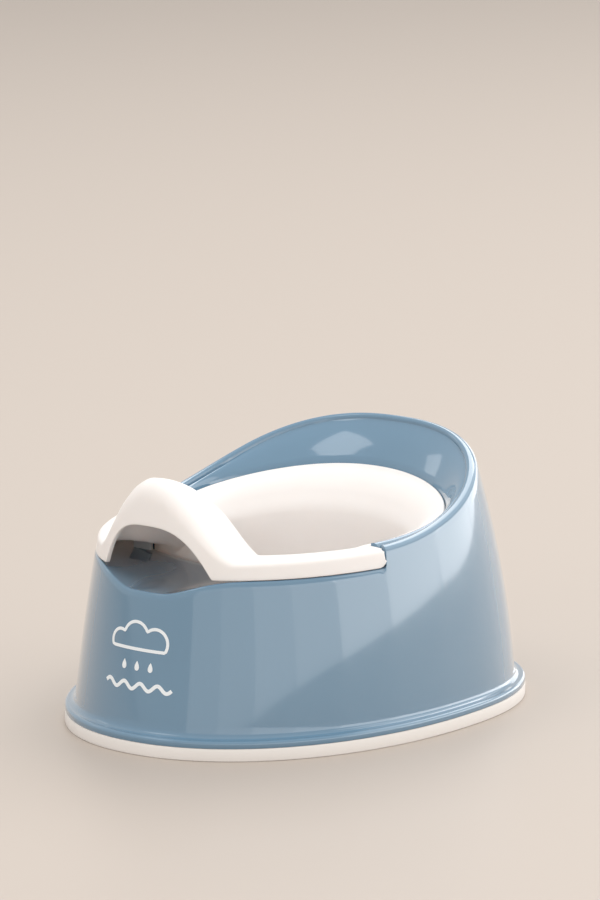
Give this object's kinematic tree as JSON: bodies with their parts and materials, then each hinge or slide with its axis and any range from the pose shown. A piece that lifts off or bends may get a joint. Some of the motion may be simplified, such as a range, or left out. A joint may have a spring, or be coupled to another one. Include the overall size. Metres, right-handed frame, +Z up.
{
  "type": "potty training chair",
  "caption": "Low toddler potty: egg-shaped glossy shell with a curved backrest, and a lift-out bowl whose splash guard arches over the front deck as a handle.",
  "frame": {"origin": "on the floor under the middle of the base outline", "axes": "+Z up, front (splash guard) towards -Y, backrest towards +Y, width along X"},
  "size_m": [0.222, 0.28, 0.1469],
  "materials": {
    "shell_plastic": "glossy moulded polypropylene, muted blue",
    "strip_rubber": "soft matt white elastomer",
    "potty_plastic": "satin white moulded polypropylene"
  },
  "bodies": {
    "shell": {"outer_shell": "shell_plastic", "grip_strip": "strip_rubber"},
    "inner_potty": {"inner_potty": "potty_plastic"}
  },
  "joints": [
    {"name": "inner_potty_lift", "type": "slide", "parent": "shell", "child": "inner_potty", "axis": [0, 0, 1], "range_m": [0, 0.14]}
  ]
}
